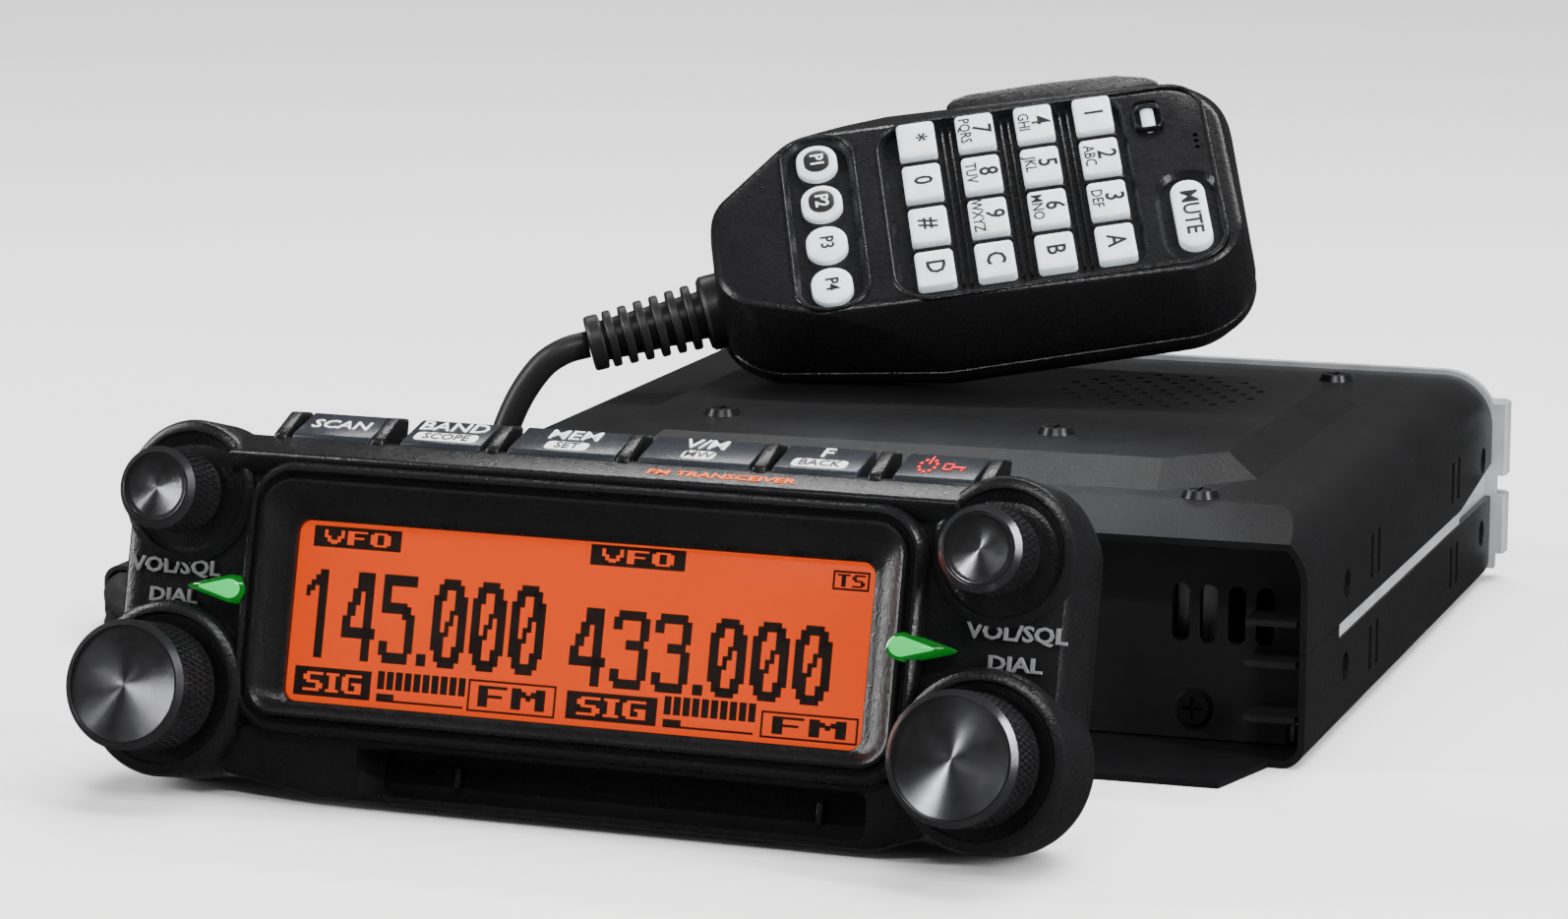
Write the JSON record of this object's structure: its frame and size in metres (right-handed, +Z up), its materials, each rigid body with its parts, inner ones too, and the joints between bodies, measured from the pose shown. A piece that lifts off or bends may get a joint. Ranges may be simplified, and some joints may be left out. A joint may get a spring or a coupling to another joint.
{
  "type": "mobile transceiver",
  "caption": "Flat black radio unit with a separate tilting control head, knobs, top keys and display, and a corded hand microphone resting on top.",
  "frame": {"origin": "centre of the main unit's flat base, on the surface that it stands on", "axes": "+X to the right seen from the front, +Y from the front towards the rear sockets, +Z up"},
  "size_m": [0.2064, 0.2473, 0.0849],
  "materials": {
    "cover_paint": "fine-textured satin black paint",
    "plate_paint": "matte black paint",
    "casting": "die-cast, satin",
    "screw_black": "black zinc",
    "board_green": "solder mask",
    "speaker_black": "matte",
    "fan_plastic": "matte",
    "socket_plate": "bright nickel plate",
    "inlet_plastic": "moulded satin",
    "head_plastic": "fine-textured satin black",
    "window_clear": "clear gloss",
    "display_orange": "back-lit orange",
    "lamp_green": "lit translucent green",
    "encoder_steel": "satin",
    "knob_plastic": "knurled satin black",
    "top_key_plastic": "smoked, polished",
    "mic_plastic": "fine-textured satin black",
    "mic_lamp_clear": "clear",
    "mic_key_pale": "translucent white",
    "mic_key_black": "satin black",
    "cord_rubber": "matte black"
  },
  "bodies": {
    "root": {"upper_cover": "cover_paint", "lower_cover": "cover_paint", "chassis": "casting", "front_plate": "plate_paint", "main_board": "board_green", "speaker": "speaker_black", "fan_motor": "fan_plastic", "antenna_socket": "socket_plate", "power_inlet": "inlet_plastic", "front_jacks": "inlet_plastic", "case_screws": "screw_black", "head_bracket": "cover_paint", "cord_tube": "cord_rubber", "cord_coil": "cord_rubber", "mic_plug": "inlet_plastic"},
    "fan": {"fan_rotor": "fan_plastic"},
    "head": {"head_front_case": "head_plastic", "head_rear_case": "head_plastic", "lcd_window": "window_clear", "lcd_panel": "display_orange", "side_lamps": "lamp_green", "head_board": "board_green", "encoders": "encoder_steel"},
    "mic": {"mic_front_case": "mic_plastic", "mic_rear_case": "mic_plastic", "mic_lamp": "mic_lamp_clear", "mic_strain_relief": "cord_rubber", "mic_board": "board_green"},
    "talk_bar": {"mic_talk_bar": "mic_plastic"},
    "left_small_knob": {"left_small_knob": "knob_plastic"},
    "left_large_knob": {"left_large_knob": "knob_plastic"},
    "right_small_knob": {"right_small_knob": "knob_plastic"},
    "right_large_knob": {"right_large_knob": "knob_plastic"},
    "top_key_1": {"top_key_1": "top_key_plastic"},
    "top_key_2": {"top_key_2": "top_key_plastic"},
    "top_key_3": {"top_key_3": "top_key_plastic"},
    "top_key_4": {"top_key_4": "top_key_plastic"},
    "top_key_5": {"top_key_5": "top_key_plastic"},
    "top_key_6": {"top_key_6": "top_key_plastic"},
    "mic_key_1": {"mic_key_1": "mic_key_pale"},
    "mic_key_2": {"mic_key_2": "mic_key_pale"},
    "mic_key_3": {"mic_key_3": "mic_key_pale"},
    "mic_key_a": {"mic_key_a": "mic_key_pale"},
    "mic_key_4": {"mic_key_4": "mic_key_pale"},
    "mic_key_5": {"mic_key_5": "mic_key_pale"},
    "mic_key_6": {"mic_key_6": "mic_key_pale"},
    "mic_key_b": {"mic_key_b": "mic_key_pale"},
    "mic_key_7": {"mic_key_7": "mic_key_pale"},
    "mic_key_8": {"mic_key_8": "mic_key_pale"},
    "mic_key_9": {"mic_key_9": "mic_key_pale"},
    "mic_key_c": {"mic_key_c": "mic_key_pale"},
    "mic_key_star": {"mic_key_star": "mic_key_pale"},
    "mic_key_0": {"mic_key_0": "mic_key_pale"},
    "mic_key_hash": {"mic_key_hash": "mic_key_pale"},
    "mic_key_d": {"mic_key_d": "mic_key_pale"},
    "mic_key_p1": {"mic_key_p1": "mic_key_black"},
    "mic_key_p2": {"mic_key_p2": "mic_key_black"},
    "mic_key_p3": {"mic_key_p3": "mic_key_black"},
    "mic_key_p4": {"mic_key_p4": "mic_key_black"},
    "mic_key_mute": {"mic_key_mute": "mic_key_pale"}
  },
  "joints": [
    {"name": "fan_spin", "type": "hinge", "parent": "root", "child": "fan", "pos_m": [0, 0.07, 0.0175], "axis": [0, -1, 0], "continuous": true},
    {"name": "head_tilt", "type": "hinge", "parent": "root", "child": "head", "pos_m": [-0.01721, -0.11626, 0.01824], "axis": [0.9987, -0.0506, 0], "range_deg": [-20, 0]},
    {"name": "left_small_knob_turn", "type": "hinge", "parent": "head", "child": "left_small_knob", "pos_m": [-0.07764, -0.12928, 0.04076], "axis": [-0.0491, -0.9695, 0.2402], "continuous": true},
    {"name": "left_large_knob_turn", "type": "hinge", "parent": "head", "child": "left_large_knob", "pos_m": [-0.07797, -0.13586, 0.01416], "axis": [-0.0491, -0.9695, 0.2402], "continuous": true},
    {"name": "right_small_knob_turn", "type": "hinge", "parent": "head", "child": "right_small_knob", "pos_m": [0.04161, -0.13532, 0.04076], "axis": [-0.0491, -0.9695, 0.2402], "continuous": true},
    {"name": "right_large_knob_turn", "type": "hinge", "parent": "head", "child": "right_large_knob", "pos_m": [0.04127, -0.14189, 0.01416], "axis": [-0.0491, -0.9695, 0.2402], "continuous": true},
    {"name": "top_key_1_press", "type": "slide", "parent": "head", "child": "top_key_1", "axis": [-0.0122, -0.2399, -0.9707], "range_m": [0, 0.0006], "stiffness_N_per_m": 300},
    {"name": "top_key_2_press", "type": "slide", "parent": "head", "child": "top_key_2", "axis": [-0.0122, -0.2399, -0.9707], "range_m": [0, 0.0006], "stiffness_N_per_m": 300},
    {"name": "top_key_3_press", "type": "slide", "parent": "head", "child": "top_key_3", "axis": [-0.0122, -0.2399, -0.9707], "range_m": [0, 0.0006], "stiffness_N_per_m": 300},
    {"name": "top_key_4_press", "type": "slide", "parent": "head", "child": "top_key_4", "axis": [-0.0122, -0.2399, -0.9707], "range_m": [0, 0.0006], "stiffness_N_per_m": 300},
    {"name": "top_key_5_press", "type": "slide", "parent": "head", "child": "top_key_5", "axis": [-0.0122, -0.2399, -0.9707], "range_m": [0, 0.0006], "stiffness_N_per_m": 300},
    {"name": "top_key_6_press", "type": "slide", "parent": "head", "child": "top_key_6", "axis": [-0.0122, -0.2399, -0.9707], "range_m": [0, 0.0006], "stiffness_N_per_m": 300},
    {"name": "mic_lift", "type": "slide", "parent": "root", "child": "mic", "axis": [0, 0, 1], "range_m": [0, 0.04]},
    {"name": "talk_bar_press", "type": "hinge", "parent": "mic", "child": "talk_bar", "pos_m": [-0.01751, 0.05158, 0.07631], "axis": [-0.0685, 0.6138, -0.7865], "range_deg": [0, 3.2], "stiffness_Nm_per_rad": 0.6},
    {"name": "mic_key_1_press", "type": "slide", "parent": "mic", "child": "mic_key_1", "axis": [-0.0685, 0.6138, -0.7865], "range_m": [0, 0.0007], "stiffness_N_per_m": 200},
    {"name": "mic_key_2_press", "type": "slide", "parent": "mic", "child": "mic_key_2", "axis": [-0.0685, 0.6138, -0.7865], "range_m": [0, 0.0007], "stiffness_N_per_m": 200},
    {"name": "mic_key_3_press", "type": "slide", "parent": "mic", "child": "mic_key_3", "axis": [-0.0685, 0.6138, -0.7865], "range_m": [0, 0.0007], "stiffness_N_per_m": 200},
    {"name": "mic_key_a_press", "type": "slide", "parent": "mic", "child": "mic_key_a", "axis": [-0.0685, 0.6138, -0.7865], "range_m": [0, 0.0007], "stiffness_N_per_m": 200},
    {"name": "mic_key_4_press", "type": "slide", "parent": "mic", "child": "mic_key_4", "axis": [-0.0685, 0.6138, -0.7865], "range_m": [0, 0.0007], "stiffness_N_per_m": 200},
    {"name": "mic_key_5_press", "type": "slide", "parent": "mic", "child": "mic_key_5", "axis": [-0.0685, 0.6138, -0.7865], "range_m": [0, 0.0007], "stiffness_N_per_m": 200},
    {"name": "mic_key_6_press", "type": "slide", "parent": "mic", "child": "mic_key_6", "axis": [-0.0685, 0.6138, -0.7865], "range_m": [0, 0.0007], "stiffness_N_per_m": 200},
    {"name": "mic_key_b_press", "type": "slide", "parent": "mic", "child": "mic_key_b", "axis": [-0.0685, 0.6138, -0.7865], "range_m": [0, 0.0007], "stiffness_N_per_m": 200},
    {"name": "mic_key_7_press", "type": "slide", "parent": "mic", "child": "mic_key_7", "axis": [-0.0685, 0.6138, -0.7865], "range_m": [0, 0.0007], "stiffness_N_per_m": 200},
    {"name": "mic_key_8_press", "type": "slide", "parent": "mic", "child": "mic_key_8", "axis": [-0.0685, 0.6138, -0.7865], "range_m": [0, 0.0007], "stiffness_N_per_m": 200},
    {"name": "mic_key_9_press", "type": "slide", "parent": "mic", "child": "mic_key_9", "axis": [-0.0685, 0.6138, -0.7865], "range_m": [0, 0.0007], "stiffness_N_per_m": 200},
    {"name": "mic_key_c_press", "type": "slide", "parent": "mic", "child": "mic_key_c", "axis": [-0.0685, 0.6138, -0.7865], "range_m": [0, 0.0007], "stiffness_N_per_m": 200},
    {"name": "mic_key_star_press", "type": "slide", "parent": "mic", "child": "mic_key_star", "axis": [-0.0685, 0.6138, -0.7865], "range_m": [0, 0.0007], "stiffness_N_per_m": 200},
    {"name": "mic_key_0_press", "type": "slide", "parent": "mic", "child": "mic_key_0", "axis": [-0.0685, 0.6138, -0.7865], "range_m": [0, 0.0007], "stiffness_N_per_m": 200},
    {"name": "mic_key_hash_press", "type": "slide", "parent": "mic", "child": "mic_key_hash", "axis": [-0.0685, 0.6138, -0.7865], "range_m": [0, 0.0007], "stiffness_N_per_m": 200},
    {"name": "mic_key_d_press", "type": "slide", "parent": "mic", "child": "mic_key_d", "axis": [-0.0685, 0.6138, -0.7865], "range_m": [0, 0.0007], "stiffness_N_per_m": 200},
    {"name": "mic_key_p1_press", "type": "slide", "parent": "mic", "child": "mic_key_p1", "axis": [-0.0685, 0.6138, -0.7865], "range_m": [0, 0.0007], "stiffness_N_per_m": 200},
    {"name": "mic_key_p2_press", "type": "slide", "parent": "mic", "child": "mic_key_p2", "axis": [-0.0685, 0.6138, -0.7865], "range_m": [0, 0.0007], "stiffness_N_per_m": 200},
    {"name": "mic_key_p3_press", "type": "slide", "parent": "mic", "child": "mic_key_p3", "axis": [-0.0685, 0.6138, -0.7865], "range_m": [0, 0.0007], "stiffness_N_per_m": 200},
    {"name": "mic_key_p4_press", "type": "slide", "parent": "mic", "child": "mic_key_p4", "axis": [-0.0685, 0.6138, -0.7865], "range_m": [0, 0.0007], "stiffness_N_per_m": 200},
    {"name": "mic_key_mute_press", "type": "slide", "parent": "mic", "child": "mic_key_mute", "axis": [-0.0685, 0.6138, -0.7865], "range_m": [0, 0.0007], "stiffness_N_per_m": 200}
  ]
}
